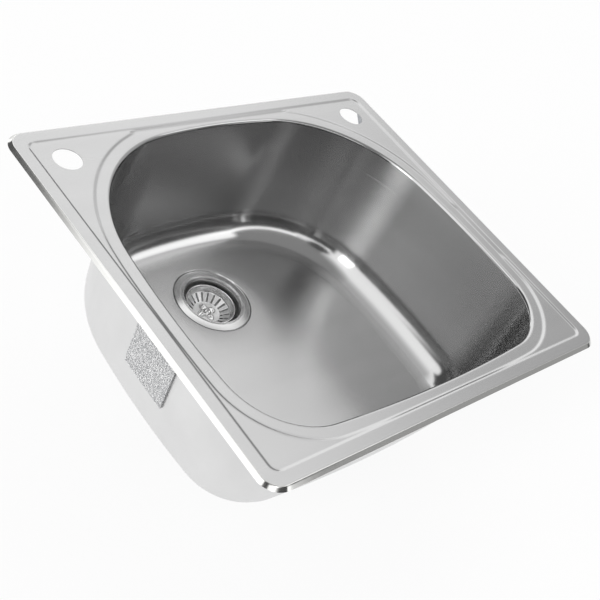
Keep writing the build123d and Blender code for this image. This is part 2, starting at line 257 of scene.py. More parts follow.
def bowl_profile(lip_count, wall_count, round_count):
    """The bowl's section as (offset from the D, height, normal): the rolled lip, the draughted
    wall and the large round at the floor, each arc tangent to what it joins."""
    turn = np.pi / 2 - draft
    lead = lip_round * np.tan(turn / 2)
    a = np.linspace(0, turn, lip_count)
    lip = np.column_stack([lead - lip_round * np.sin(a),
                           ring_level - lip_round + lip_round * np.cos(a), -np.sin(a), np.cos(a)])
    reach = floor_round * np.tan(turn / 2)
    foot = -(ring_level - floor_level) * np.tan(draft)
    middle = foot - reach
    g = np.linspace(turn, 0, round_count)
    low = np.column_stack([middle + floor_round * np.sin(g),
                           floor_level + floor_round - floor_round * np.cos(g), -np.sin(g), np.cos(g)])
    t = np.linspace(0, 1, wall_count + 2)[1:-1, None]
    wall = lip[-1] * (1 - t) + low[0] * t
    wall[:, 2:] = [-np.cos(draft), np.sin(draft)]
    return np.concatenate([lip, wall, low])


def dish_profile():
    """The dish round the drain as (radius, height, normal): the floor turns down over a small
    round, slopes in, and turns level again over another."""
    rim, upper_round, foot, lower_round, slope = 60.6, 1.6, 57.6, 1.3, np.radians(54)
    a = np.linspace(0, slope, 5)
    b = a[::-1]
    top = np.column_stack([rim - upper_round * np.sin(a),
                           floor_level - upper_round + upper_round * np.cos(a), -np.sin(a), np.cos(a)])
    low = np.column_stack([foot + lower_round * np.sin(b),
                           dish_level + lower_round - lower_round * np.cos(b), -np.sin(b), np.cos(b)])
    flat = np.array([[radius, dish_level, 0, 1] for radius in (52.0, hole_radius)])
    return np.concatenate([top, low, flat])


DECK_ROWS = 33


def shell_side(below):
    """One side of the sheet as a grid of points, rows from the flange's edge to the drain and
    columns round the D. Below, each row is moved down or outwards by the sheet's thickness.
    Returns the points, for each row whether its faces are polished and whether their grain runs
    round the bowl, as on its wall, or along X, and the row where the deck starts."""
    down = sheet if below else 0.0
    rows, polished, walls = [], [], []

    def put(xy, height, bright=False, wall=False):
        rows.append(with_height(xy, height))
        polished.append(bright)
        walls.append(wall)

    flat_edge = 5.6
    edge = bowl_curve(flat_edge)
    angles = np.arctan2(edge[:, 1], edge[:, 0])
    for inset, height in under_bevel() if below else bevel_profile():
        put(flange_curve(inset, angles), height - down, bright=True)
    border = [10.0] if below else [8.0, 13.0, 17.5]
    for inset in [*border, *np.linspace(19.6, 28.3, 7 if below else 13)]:
        xy = flange_curve(inset, angles)
        put(xy, flange_height(xy) - down)
    deck_start = len(rows) - 1
    outer = rows[deck_start][:, :2]
    for t in np.arange(1, DECK_ROWS + 1) / DECK_ROWS:
        share = 1 - (1 - t) ** 1.75
        xy = outer * (1 - share) + edge * share
        put(xy, flange_height(xy) - down)
    for offset, height, out, up in bowl_profile(5, 2, 9) if below else bowl_profile(9, 4, 20):
        put(bowl_curve(offset - out * down), height - up * down, wall=True)
    walls[-1] = False
    brim = rows[-1][:, :2]
    way = brim - drain
    way = way / np.linalg.norm(way, axis=1)[:, None]
    dish = dish_profile()[[0, 4, 5, 9, 10, 11]] if below else dish_profile()
    start = drain + way * dish[0, 0]
    for t in np.linspace(0, 1, 5 if below else 8)[1:-1]:
        put(brim * (1 - t) + start * t, floor_level - down)
    for radius, height, out, up in dish:
        put(drain + way * (radius - out * down), height - up * down)
    return np.array(rows), polished, walls, deck_start


def hole_block(grid, centre, deck_start):
    """The smallest block of the grid, in rows from the deck's start and in columns, that holds a
    tap hole with some mm to spare, so that the hole's ring of faces can take the block's place."""
    spare = 2.5
    deck = grid[deck_start:deck_start + DECK_ROWS + 1, :, :2]
    near = np.linalg.norm(deck - centre, axis=2) < tap_radius + spare
    rows, columns = np.flatnonzero(near.any(1)), np.flatnonzero(near.any(0))
    if columns.max() - columns.min() > COLUMNS // 2:
        columns = np.where(columns < COLUMNS // 2, columns + COLUMNS, columns)
    return rows.min() - 1, rows.max() + 1, columns.min() - 1, columns.max() + 1


def loop_round(block):
    """The grid places on a block's border, in order."""
    r0, r1, c0, c1 = block
    first = [(r0, c) for c in range(c0, c1)] + [(r, c1) for r in range(r0, r1)]
    second = [(r1, c) for c in range(c1, c0, -1)] + [(r, c0) for r in range(r1, r0, -1)]
    return np.array([(r, c % COLUMNS) for r, c in first + second])


def sink_skin(brushed, polish, mill):
    """The whole pressed sheet as one closed mesh: both sides, the strips that join them at the
    edge of the flange, the drain and the two tap holes, and the rings of faces round the taps."""
    brushed_side, polished_edge, mill_side = 0, 1, 2
    top, low = shell_side(False), shell_side(True)
    points = [top[0].reshape(-1, 3), low[0].reshape(-1, 3)]
    faces, kinds, wall_faces = [], [], []

    def put(quads, kind, wall=False):
        faces.append(quads)
        kinds.append(np.broadcast_to(kind, len(quads)))
        wall_faces.append(np.broadcast_to(wall, len(quads)))

    blocks = [hole_block(top[0], hole, top[3]) for hole in tap_holes]
    for (grid, polished, walls, start), base, plain in (
            (top, 0, brushed_side), (low, len(points[0]), mill_side)):
        keep = np.ones((len(grid) - 1, COLUMNS), bool)
        for r0, r1, c0, c1 in blocks:
            keep[start + r0:start + r1, np.arange(c0, c1) % COLUMNS] = False
        quads = woven(len(grid), COLUMNS, False)[keep] + base
        bright = np.array(polished[1:]) & np.array(polished[:-1]) & (plain == brushed_side)
        kind = np.where(bright, polished_edge, plain).repeat(COLUMNS)[keep.ravel()]
        wall = np.array(walls[:-1]).repeat(COLUMNS)[keep.ravel()]
        put(quads if plain == brushed_side else quads[:, ::-1], kind, wall)
    total = len(points[0]) + len(points[1])
    around = np.arange(COLUMNS)
    edge = strip(around, len(points[0]) + around)
    put(edge[:, [0, 3, 2, 1]], polished_edge)
    last = strip(len(points[0]) - COLUMNS + around, total - COLUMNS + around)
    put(last[:, [1, 2, 3, 0]], brushed_side)
    for hole, block in zip(tap_holes, blocks):
        rims = []
        for (grid, _, _, start), base, plain in ((top, 0, brushed_side), (low, len(points[0]), mill_side)):
            cells = loop_round(block) + [start, 0]
            border = grid[cells[:, 0], cells[:, 1], :2]
            way = border - hole
            circle = hole + tap_radius * way / np.linalg.norm(way, axis=1)[:, None]
            previous = cells[:, 0] * COLUMNS + cells[:, 1] + base
            for t in (0.35, 0.7, 1.0):
                xy = border * (1 - t) + circle * t
                points.append(with_height(xy, flange_height(xy) - (sheet if plain == mill_side else 0)))
                current = np.arange(total, total + len(xy))
                total += len(xy)
                ring = strip(previous, current)
                put(ring if plain == brushed_side else ring[:, ::-1], plain)
                previous = current
            rims.append(previous)
        put(strip(*rims), brushed_side)
    points, faces, wall_faces = np.concatenate(points), np.concatenate(faces), np.concatenate(wall_faces)
    along = np.zeros(len(points))
    grid_points = (len(top[0]) + len(low[0])) * COLUMNS
    along[:grid_points] = np.tile(COLUMN_RUN, len(top[0]) + len(low[0]))
    # A face across the seam, where the way round the bowl starts again, counts on past its end.
    wall_u = along[faces]
    half_way = 500
    wrap = wall_u.max(1) - wall_u.min(1) > half_way
    wall_u = np.where(wrap[:, None] & (wall_u < half_way), wall_u + COLUMN_RUN.max(), wall_u)
    wall_uv = np.stack([wall_u, points[faces][:, :, 2]], -1)
    uv = np.where(wall_faces[:, None, None], wall_uv, points[faces][:, :, :2])
    make_mesh("sink_sheet", points, faces, [brushed, polish, mill], "sink", ["sink_shell"],
              "brushed_stainless", np.concatenate(kinds), uv.reshape(-1, 2))


# The strainer and its basket, with heights over the floor of the dish

post_hole = 3.06


def rounded(corners, steps=4):
    """A section whose corners, each (radius, height, rounding), are bent: a corner becomes a
    quadratic curve between the points that lie its rounding away from it along both sides."""
    points = []
    count = len(corners)
    for k, (x, z, size) in enumerate(corners):
        corner = np.array([x, z])
        before = np.array(corners[k - 1][:2]) - corner
        after = np.array(corners[(k + 1) % count][:2]) - corner
        reach = min(size, 0.45 * np.hypot(*before), 0.45 * np.hypot(*after))
        if reach < 1e-6:
            points.append(corner)
            continue
        start = corner + before / np.hypot(*before) * reach
        end = corner + after / np.hypot(*after) * reach
        for t in np.linspace(0, 1, steps + 1):
            points.append(start * (1 - t) ** 2 + 2 * corner * t * (1 - t) + end * t ** 2)
    return np.array(points)


def turned(section, count, closed=True):
    """A round body: a section listed anticlockwise, radius to the right and height up, goes
    round the drain's axis in equal steps."""
    turn = np.arange(count) / count * 2 * np.pi
    section = np.asarray(section, float)
    xy = section[:, None, 0, None] * np.stack([np.cos(turn), np.sin(turn)], 1) + drain
    z = np.broadcast_to(section[:, None, 1, None] + dish_level, xy.shape[:2] + (1,))
    points = np.concatenate([xy, z], 2).reshape(-1, 3)
    return points, woven(len(section), count, closed).reshape(-1, 4)


def box(size, middle):
    """A bar with small chamfers along its upper edges: a section goes straight along X."""
    half = np.array(size) / 2
    chamfer = 0.3
    section = np.array([
        [-half[1], -half[2]], [half[1], -half[2]], [half[1], half[2] - chamfer],
        [half[1] - chamfer, half[2]], [chamfer - half[1], half[2]], [-half[1], half[2] - chamfer]])
    points = np.array([[x, y, z] for x in (-half[0], half[0]) for y, z in section]) + middle
    n = len(section)
    sides = [[k, (k + 1) % n, (k + 1) % n + n, k + n] for k in range(n)]
    ends = [list(range(n))[::-1], list(range(n, 2 * n))]
    return points, sides + ends


def joined(pieces):
    """Several (points, faces) pairs as one."""
    points, faces, total = [], [], 0
    for p, f in pieces:
        points.append(p)
        faces += [[i + total for i in face] for face in f]
        total += len(p)
    return np.concatenate(points), faces


def welded(points, faces):
    """The same surface with points at one place made one point. The small shift keeps points
    away from places where rounding could part them."""
    shift = 0.00013
    _, first, index = np.unique(np.round(points + shift, 3), axis=0, return_index=True,
                                return_inverse=True)
    index = index.ravel()
    return points[first], [[int(index[i]) for i in face] for face in faces]


def strainer_cup(metal, inside):
    """The strainer's body: a flange that rises to a crest, a fine groove and a rolled lip, the
    throat, the rounded seat and the outlet with the cross that guides the post."""
    wall, seat, outlet, end = 1.2, -34.3, 22.5, -60.0
    section = rounded([
        (57.15, 0.0, 0.3), (57.15, 0.8, 0.6), (47.2, 2.45, 0.5), (46.7, 1.7, 0.3), (46.0, 1.7, 0.3),
        (45.5, 3.0, 0.7), (44.1, 3.0, 0.8), (43.5, 1.2, 0.6), (42.4, -0.6, 1.5), (42.4, -22.0, 5.0),
        (33.0, seat, 3.0), (outlet, seat, 1.5), (outlet, end, 0.3), (outlet + wall, end, 0.3),
        (outlet + wall, seat - wall, 1.0), (33.0, seat - wall, 3.0), (43.6, -22.0, 5.0),
        (43.6, 0.4, 1.0), (46.0, 1.3, 1.0), (54.7, 0.0, 0.5)], 5)
    hub = rounded([(post_hole, -43.3, 0.3), (6.0, -43.3, 0.3), (6.0, -37.3, 0.6), (post_hole, -37.3, 0.4)])
    bars = []
    for turn in (0, 1):
        points, faces = box((2 * outlet + 0.8, 2.5, 3.0), (0, 0, -38.8))
        if turn:
            points = points[:, [1, 0, 2]] * [-1, 1, 1]
        bars.append((points + [*drain, dish_level], faces))
    points, faces = joined([turned(section, 160), turned(hub, 40)] + bars)
    throat = -1.5
    low = np.array([points[face, 2].mean() for face in faces]) < dish_level + throat
    make_mesh("strainer_cup", points, faces, [metal, inside], "sink", ["strainer_body"],
              "polished_stainless", low.astype(int))


def slotted_sector(radius_in, radius_out, heights, count, divisions):
    """One part in twenty of the basket's slotted cone, both sides: each side runs from the
    sector's border to the slot, whose outline is the place one slot radius from the nearest point
    of the slot's own straight line, and a wall joins the two outlines."""
    slot_radius, slot_middle, line, edge_dip = 1.35, 26.75, 4.65, 0.18
    half = np.pi / count
    turn = np.linspace(-half, half, divisions + 1)
    along = np.linspace(radius_in, radius_out, 13)
    outer = radius_out * np.stack([np.cos(turn), np.sin(turn)], 1)
    inner = radius_in * np.stack([np.cos(turn), np.sin(turn)], 1)
    left = along[::-1, None] * np.array([np.cos(half), np.sin(half)])
    right = along[:, None] * np.array([np.cos(half), -np.sin(half)])
    border = np.concatenate([outer[:-1], left[:-1], inner[::-1][:-1], right[:-1]])
    middle = np.array([slot_middle, 0.0])
    rel = border - middle
    nearest = np.column_stack([np.clip(rel[:, 0], -line, line), np.zeros(len(rel))])
    way = rel - nearest
    slot = middle + nearest + slot_radius * way / np.linalg.norm(way, axis=1)[:, None]
    points, faces, rings = [], [], []
    around = np.arange(len(border))
    for side, height in enumerate(heights):
        for t in (0.0, 0.6, 0.9, 1.0):
            xy = border * (1 - t) + slot * t
            dip = edge_dip * max(0.0, t - 0.9) / 0.1 * (1 if side else -1)
            rings.append(len(points) * len(border) + around)
            points.append(with_height(xy, height(np.linalg.norm(xy, axis=1)) + dip))
        for outer_ring, inner_ring in zip(rings[-4:-1], rings[-3:]):
            ring = strip(outer_ring, inner_ring)
            faces += (ring[:, ::-1] if side else ring).tolist()
    faces += strip(rings[3], rings[7]).tolist()
    return np.concatenate(points), faces


def basket_bowl(metal, cone):
    """The basket: rolled rim, short wall, a cone with twenty slots and a flat floor."""
    slots, divisions = 20, 8
    cone_start, cone_in, cone_out = 20.5, 20.9, 33.2

    def top(radius):
        return -24.5 + (radius - cone_start) * 9.0 / 13.5

    def low(radius):
        return -25.3 + (radius - cone_start) * 9.8 / 14.3

    sector, faces = slotted_sector(cone_in, cone_out, (top, low), slots, divisions)
    pieces = []
    for k in range(slots):
        turn = 2 * np.pi * k / slots
        c, s = np.cos(turn), np.sin(turn)
        spun = np.column_stack([sector[:, 0] * c - sector[:, 1] * s,
                                sector[:, 0] * s + sector[:, 1] * c, sector[:, 2]])
        pieces.append((spun + [*drain, dish_level], faces))
    curl = np.linspace(np.radians(-80), np.radians(200), 16)
    rim = np.column_stack([37.0 + 1.3 * np.cos(curl), -6.8 + 1.3 * np.sin(curl)])
    upper = np.concatenate([
        [[cone_out, low(cone_out)], [34.1, -15.9], [34.8, -15.2], [35.2, -13.6], [36.5, -8.6]], rim,
        [[35.6, -8.6], [34.5, -13.2], [34.0, -14.6], [cone_out, top(cone_out)]]])
    floor = [[cone_in, top(cone_in)], [20.2, -24.45], [19.0, -24.5], [post_hole, -24.5],
             [post_hole, -25.3], [19.0, -25.3], [20.2, -25.25], [cone_in, low(cone_in)]]
    pieces += [turned(upper, slots * divisions, False), turned(floor, slots * divisions, False)]
    points, faces = welded(*joined(pieces))
    # The faces below the wall's foot are the cone's, which take the material painted paler as a painted
    # highlight.
    wall_foot = -15.9
    on_cone = np.array([points[face].mean(0)[2] for face in faces]) < dish_level + wall_foot
    make_mesh("basket_bowl", points, faces, [metal, cone], "basket", ["basket_cup"],
              "polished_stainless", on_cone.astype(int))


def knob(metal):
    """The basket's knob: four lobes. Its edge lies 9.2 mm out plus 7.3 mm times the size of the
    cosine of twice the turn, to the power 1.6; its top is level at the post, swells on the lobes
    with a squared sine and falls off to the edge with the fifth power of the way out."""
    count, rings = 144, 22
    turn = np.arange(count) / count * 2 * np.pi
    lobe = np.abs(np.cos(2 * turn)) ** 1.6
    edge = 9.2 + 7.3 * lobe
    base = -24.4
    points = [np.column_stack([post_hole * np.cos(turn), post_hole * np.sin(turn), np.full(count, base)])]
    for t in np.linspace(0, 1, rings) ** 0.75:
        radius = post_hole + (edge - post_hole) * t
        swell = 1.5 * lobe * np.sin(np.pi * np.clip((radius - 5) / 11, 0, 1)) ** 2
        z = base + (3.2 + swell) * (1 - np.clip(t, 0, 1) ** 5 * 0.86)
        points.append(np.column_stack([radius * np.cos(turn), radius * np.sin(turn), z]))
    points.append(np.column_stack([edge * np.cos(turn), edge * np.sin(turn), np.full(count, base)]))
    points = np.concatenate(points) + [*drain, dish_level]
    faces = woven(rings + 2, count).reshape(-1, 4)[:, [0, 3, 2, 1]]
    make_mesh("knob", points, faces, [metal], "basket_stem", ["basket_knob"], "polished_stainless")


def soft_ring(name, corners, material, stands_for, slot, body="sink"):
    """A ring with rounded edges, in place of a plain CAD ring."""
    make_mesh(name, *turned(rounded(corners), 128), [material], body, [stands_for], slot)


def threaded(node, metal):
    """A clip's screw with its thread: the CAD screw's mesh with its shank thinned to the thread's
    root, and a closed sleeve round it whose radius swings between root and crest, 0.8 mm a
    turn: the crest follows the part of a turn that height over pitch is ahead of the angle."""
    source = frame["nodes"][node]
    mesh = source.data
    points = np.empty(len(mesh.vertices) * 3)
    mesh.vertices.foreach_get("co", points)
    points = points.reshape(-1, 3) / MM
    axis = (points[:, :2].max(0) + points[:, :2].min(0)) / 2
    out = np.linalg.norm(points[:, :2] - axis, axis=1)
    pitch, columns, thinner = 0.8, 24, 0.8
    inner, root, depth, bottom, top = 1.8, 2.0, 0.48, -26.45, -1.5
    shank = (out > 1.5) & (out < 2.6) & (points[:, 2] > bottom - 0.1)
    points[shank, :2] = axis + (points[shank, :2] - axis) * thinner
    points, faces = welded(points, [list(face.vertices) for face in mesh.polygons])
    heights = np.arange(bottom, top - 0.05, pitch / 8)
    turn = np.arange(columns) / columns * 2 * np.pi
    phase = (heights[:, None] / pitch - turn / (2 * np.pi)) % 1
    crest = np.clip(1.35 - 3.4 * np.abs(phase - 0.5), 0, 1)
    taper = np.clip((top - heights) / pitch, 0, 1)[:, None]
    radius = root + depth * crest * taper
    radius[[0, -1]] = inner
    xy = axis + radius[..., None] * np.stack([np.cos(turn), np.sin(turn)], 1)
    sleeve = np.concatenate([xy, np.broadcast_to(heights[:, None, None], xy.shape[:2] + (1,))], 2)
    skin = woven(len(heights), columns).reshape(-1, 4).tolist()
    points, faces = joined([(points, faces), (sleeve.reshape(-1, 3), skin)])
    body = node.replace("clip_screw_", "clip_") + "_screw"
    make_mesh(node + "_threaded", points, faces, [metal], body, [node], "zinc_plated_steel", sharp=30)


# Materials

def linear(hex_colour):
    """A colour written as sRGB hex, turned to the linear values that shaders take."""
    value = np.array([int(hex_colour[i:i + 2], 16) for i in (1, 3, 5)]) / 255
    value = np.where(value <= 0.04045, value / 12.92, ((value + 0.055) / 1.055) ** 2.4)
    return (*value, 1.0)


def add(tree, kind, inputs=None, **settings):
    """A node with its settings; each input gets a value or a link from another node's output."""
    node = tree.nodes.new(kind)
    for key, value in settings.items():
        setattr(node, key, value)
    for key, value in (inputs or {}).items():
        if isinstance(value, bpy.types.NodeSocket):
            tree.links.new(value, node.inputs[key])
        else:
            node.inputs[key].default_value = value
    return node


def fade(tree, value, start, end):
    """0 where a value is below the start, 1 where it is above the end, and smooth between."""
    return add(tree, "ShaderNodeMapRange", {"Value": value, "From Min": start, "From Max": end},
               interpolation_type="SMOOTHSTEP").outputs[0]


def maths(tree, first, second, operation="MULTIPLY"):
    """The number that an operation makes of two."""
    return add(tree, "ShaderNodeMath", {0: first, 1: second}, operation=operation).outputs[0]


def start_material(name, **inputs):
    """A material with one Principled shader on its output, its fixed numbers on its sockets."""
    material = bpy.data.materials.new(name)
    material.use_nodes = True
    tree = material.node_tree
    tree.nodes.clear()
    shader = add(tree, "ShaderNodeBsdfPrincipled", {k.replace("_", " "): v for k, v in inputs.items()})
    add(tree, "ShaderNodeOutputMaterial", {"Surface": shader.outputs[0]})
    return material, tree, shader


def spread(tree, shader, pattern, colours=None, rough=None, bump=None):
    """Joins a pattern between 0 and 1 to a shader: two colours, two roughnesses, and a relief as
    (strength, depth in mm)."""
    if colours:
        first, second = map(linear, colours)
        mix = add(tree, "ShaderNodeMix", {"Factor": pattern, 6: first, 7: second}, data_type="RGBA")
        tree.links.new(mix.outputs[2], shader.inputs["Base Color"])
    if rough:
        level = add(tree, "ShaderNodeMapRange", {"Value": pattern, "To Min": rough[0], "To Max": rough[1]})
        tree.links.new(level.outputs[0], shader.inputs["Roughness"])
    if bump:
        strength, depth = bump
        relief = add(tree, "ShaderNodeBump",
                     {"Height": pattern, "Strength": strength, "Distance": depth * MM})
        tree.links.new(relief.outputs[0], shader.inputs["Normal"])


def brushed_stainless():
    """Stainless 304 sheet, brushed with an abrasive belt: fine parallel scratches, which stretch
    every reflection across them into soft bands."""
    material, tree, shader = start_material("brushed stainless 304", Metallic=1.0, Anisotropic=0.93,
                                            Anisotropic_Rotation=0.25)
    uv = add(tree, "ShaderNodeUVMap", uv_map="grain")
    # Real scratches are 0.05 to 0.2 mm apart; they are drawn 1 to 3 mm apart so that they show.
    lines = add(tree, "ShaderNodeMapping", {"Vector": uv.outputs[0], "Scale": (1.0, 350.0, 1.0)})
    scratch = add(tree, "ShaderNodeTexNoise", {"Vector": lines.outputs[0], "Scale": 1.0, "Detail": 2.0})
    soft = add(tree, "ShaderNodeMapping", {"Vector": uv.outputs[0], "Scale": (2.0, 24.0, 1.0)})
    cloud = add(tree, "ShaderNodeTexNoise", {"Vector": soft.outputs[0], "Scale": 1.0, "Detail": 2.0})
    # The bent edges at the lip and the floor are smoothed by the forming tool, so they are shinier.
    normal = add(tree, "ShaderNodeNewGeometry").outputs["Normal"]
    up = add(tree, "ShaderNodeSeparateXYZ", {0: normal}).outputs[2]
    bent = maths(tree, fade(tree, up, 0.12, 0.30), fade(tree, up, 0.99, 0.92))
    finish = add(tree, "ShaderNodeMapRange", {"Value": bent, "To Min": 0.27, "To Max": 0.12})
    rough = add(tree, "ShaderNodeMapRange", {"Value": scratch.outputs[0], "To Min": 0.97, "To Max": 1.03})
    rough = maths(tree, finish.outputs[0], rough.outputs[0])
    tangent = add(tree, "ShaderNodeTangent", direction_type="UV_MAP", uv_map="grain")
    spread(tree, shader, cloud.outputs[0], ("#B3B3B3", "#BDBDBD"))
    tree.links.new(rough, shader.inputs["Roughness"])
    tree.links.new(tangent.outputs[0], shader.inputs["Tangent"])
    return material


def mill_stainless():
    """The sheet's outside and underside: the dull, pale skin it has from the rolling mill, with
    soft reflections and faint drawing marks."""
    material, tree, shader = start_material("mill finish stainless 304", Metallic=1.0)
    place = add(tree, "ShaderNodeTexCoord").outputs["Object"]
    cloud = add(tree, "ShaderNodeTexNoise", {"Vector": place, "Scale": 14.0, "Detail": 4.0})
    marks = add(tree, "ShaderNodeMapping", {"Vector": place, "Scale": (60.0, 60.0, 7.0)})
    drawn = add(tree, "ShaderNodeTexNoise", {"Vector": marks.outputs[0], "Scale": 1.0, "Detail": 3.0})
    spread(tree, shader, cloud.outputs[0], ("#DEDEDE", "#EEEEEE"))
    spread(tree, shader, drawn.outputs[0], None, (0.34, 0.46), (0.08, 0.5))
    return material


def noise(tree, size, stretch=(1, 1, 1), detail=3.0, contrast=None):
    """A noise whose features are about a size in mm, longer by a stretch along each axis, made
    starker between two levels if a contrast is given."""
    place = add(tree, "ShaderNodeTexCoord").outputs["Object"]
    scale = tuple(1 / (size * MM * s) for s in stretch)
    place = add(tree, "ShaderNodeMapping", {"Vector": place, "Scale": scale}).outputs[0]
    value = add(tree, "ShaderNodeTexNoise", {"Vector": place, "Scale": 1.0, "Detail": detail}).outputs[0]
    return fade(tree, value, *contrast) if contrast else value


def polished_stainless():
    """Stainless 304 buffed bright, as on the flange's bevel: clear reflections under a faint
    haze from the buffing."""
    material, tree, shader = start_material("polished stainless 304", Metallic=1.0)
    spread(tree, shader, noise(tree, 4.5), ("#D6D6D4", "#DEDEDC"), (0.08, 0.15))
    return material


def turned_stainless():
    """Stainless 304 turned on a lathe and lightly polished, as on a strainer's flange: fine
    rings round its middle, which spread highlights into rays."""
    material, tree, shader = start_material("turned stainless 304", Metallic=1.0, Anisotropic=0.4,
                                            Anisotropic_Rotation=0.25)
    place = add(tree, "ShaderNodeTexCoord").outputs["Object"]
    away = add(tree, "ShaderNodeVectorMath", {0: place, 1: (*drain * MM, 0)}, operation="SUBTRACT")
    away = add(tree, "ShaderNodeVectorMath", {0: away.outputs[0], 1: (1, 1, 0)}, operation="MULTIPLY")
    radius = add(tree, "ShaderNodeVectorMath", {0: away.outputs[0]}, operation="LENGTH").outputs["Value"]
    height = add(tree, "ShaderNodeSeparateXYZ", {0: place}).outputs[2]
    along = maths(tree, radius, height, "ADD")
    # Tool marks are 0.1 to 0.3 mm apart; the noise has them at 0.6 mm with finer ones inside.
    rings = add(tree, "ShaderNodeTexNoise", {"W": along, "Scale": 1600.0, "Detail": 3.0},
                noise_dimensions="1D")
    spread(tree, shader, rings.outputs[0], ("#C9C9C9", "#DCDCDC"), (0.20, 0.30), (0.05, 0.2))
    tangent = add(tree, "ShaderNodeTangent", direction_type="RADIAL", axis="Z")
    tree.links.new(tangent.outputs[0], shader.inputs["Tangent"])
    return material


def drawn_stainless():
    """Stainless 304 as it leaves the deep drawing press, as in a strainer's throat: grey, with
    fine upright marks and dull reflections."""
    material, tree, shader = start_material("drawn stainless 304", Metallic=1.0)
    spread(tree, shader, noise(tree, 1.2, (1, 1, 12)), ("#C6C6C6", "#D6D6D6"), (0.32, 0.44), (0.04, 0.1))
    return material


def pressed_stainless():
    """Stainless 304 pressed and tumbled bright, as on a strainer's basket: soft, slightly uneven
    reflections."""
    material, tree, shader = start_material("tumbled stainless 304", Metallic=1.0)
    spread(tree, shader, noise(tree, 2.5), ("#D6D6D6", "#E2E2E2"), (0.09, 0.15), (0.03, 0.15))
    return material


def satin_painted_pale_stainless():
    """Stainless 304 blasted to a satin, as on the basket's slotted cone, with soft broad highlights. Its
    pale colour, lighter than the basket's other steel, is a painted highlight that makes the cone show
    bright."""
    material, tree, shader = start_material("satin stainless 304 painted pale", Metallic=1.0)
    # Both colours are paler than the basket's other steel: a painted highlight on the cone.
    spread(tree, shader, noise(tree, 2.0), ("#E6E6E6", "#F2F2F2"), (0.36, 0.46))
    return material


def damping_pad():
    """A bitumen damping pad with a sprayed grey coat: matt and stony, with light and dark
    specks about a millimetre wide."""
    material, tree, shader = start_material("sprayed bitumen damping pad")
    specks = noise(tree, 1.6, detail=5.0, contrast=(0.38, 0.62))
    spread(tree, shader, specks, ("#9C9D9F", "#E6E6E6"), (0.95, 0.8), (0.6, 0.5))
    return material


def foam_strip():
    """Closed-cell polyethylene foam: matt black with cells of half a millimetre."""
    material, tree, shader = start_material("closed-cell foam", Roughness=0.95)
    place = add(tree, "ShaderNodeTexCoord").outputs["Object"]
    cells = add(tree, "ShaderNodeTexVoronoi", {"Vector": place, "Scale": 2000.0}).outputs["Distance"]
    spread(tree, shader, cells, ("#141414", "#2C2C2C"), None, (0.5, 0.2))
    return material


def rolled_steel():
    """Galvanised strip rolled into channels: dull grey with a faint spangle of 6 mm crystals."""
    material, tree, shader = start_material("galvanised strip", Metallic=1.0)
    place = add(tree, "ShaderNodeTexCoord").outputs["Object"]
    spangle = add(tree, "ShaderNodeTexVoronoi", {"Vector": place, "Scale": 170.0}).outputs["Color"]
    grey = add(tree, "ShaderNodeRGBToBW", {0: spangle}).outputs[0]
    spread(tree, shader, grey, ("#A2A4A8", "#BDBFC2"), (0.34, 0.48), (0.02, 0.1))
    return material


def black_rubber():
    """Moulded nitrile rubber: near black, slightly shiny, with a dusty bloom in patches."""
    material, tree, shader = start_material("black nitrile rubber")
    spread(tree, shader, noise(tree, 5.0, detail=5.0), ("#121212", "#232323"), (0.45, 0.7), (0.1, 0.1))
    return material


def fibre_board():
    """Pressed paper fibre, as in a strainer's friction ring: tan, matt and finely felted."""
    material, tree, shader = start_material("pressed paper fibre")
    felt = noise(tree, 0.8, (4, 1, 1), 5.0, (0.3, 0.7))
    spread(tree, shader, felt, ("#A88E62", "#C9B48A"), (0.95, 0.85), (0.3, 0.1))
    return material


def cast_zinc():
    """Die-cast zinc alloy: grey, with a fine orange-peel skin and cloudy patches."""
    material, tree, shader = start_material("die-cast zinc", Metallic=1.0)
    spread(tree, shader, noise(tree, 1.5, detail=4.0), ("#8F9196", "#A9ABB0"), (0.36, 0.52), (0.25, 0.15))
    return material


def chromed_brass():
    """Brass with bright chrome plate: nearly a mirror, slightly blue, with faint wiping haze."""
    material, tree, shader = start_material("chrome plate on brass", Metallic=1.0)
    spread(tree, shader, noise(tree, 9.0), ("#CDD0D3", "#D8DADC"), (0.05, 0.11))
    return material


def white_plastic():
    """Moulded polyethylene: milky white, waxy, with a fine moulded texture."""
    material, tree, shader = start_material("white polyethylene")
    spread(tree, shader, noise(tree, 0.7), ("#DFDFDA", "#EAEAE6"), (0.38, 0.5), (0.1, 0.05))
    return material


def spring_steel():
    """Tempered spring strip: dark grey from the heat, in faint clouds."""
    material, tree, shader = start_material("tempered spring steel", Metallic=1.0)
    spread(tree, shader, noise(tree, 2.0, contrast=(0.3, 0.7)), ("#5C5E63", "#7E7F82"), (0.28, 0.42))
    return material


def zinc_plate():
    """Steel with clear-passivated zinc plate: silver that leans to blue here and to yellow
    there, satin rather than bright."""
    material, tree, shader = start_material("zinc plate on steel", Metallic=1.0)
    spread(tree, shader, noise(tree, 6.0, detail=4.0, contrast=(0.35, 0.65)), ("#AEB4C0", "#C4BFAC"),
           (0.24, 0.38), (0.04, 0.1))
    return material


# The object

pressed_steel = pressed_stainless()
rubber = black_rubber()
plate = zinc_plate()
FINISHES = {
    "damping_pad": damping_pad(), "foam_strip": foam_strip(), "rail_steel": rolled_steel(),
    "polished_stainless": pressed_steel, "black_rubber": rubber, "fibre": fibre_board(),
    "cast_zinc": cast_zinc(), "chromed_brass": chromed_brass(), "white_plastic": white_plastic(),
    "spring_steel": spring_steel(), "zinc_plated_steel": plate,
}
slot_of = {part["node"]: part["material_slot"] for part in frame["record"]["subparts"]}
for node, thing in frame["nodes"].items():
    if node != "sink_shell":
        thing.data.materials.clear()
        thing.data.materials.append(FINISHES[slot_of[node]])

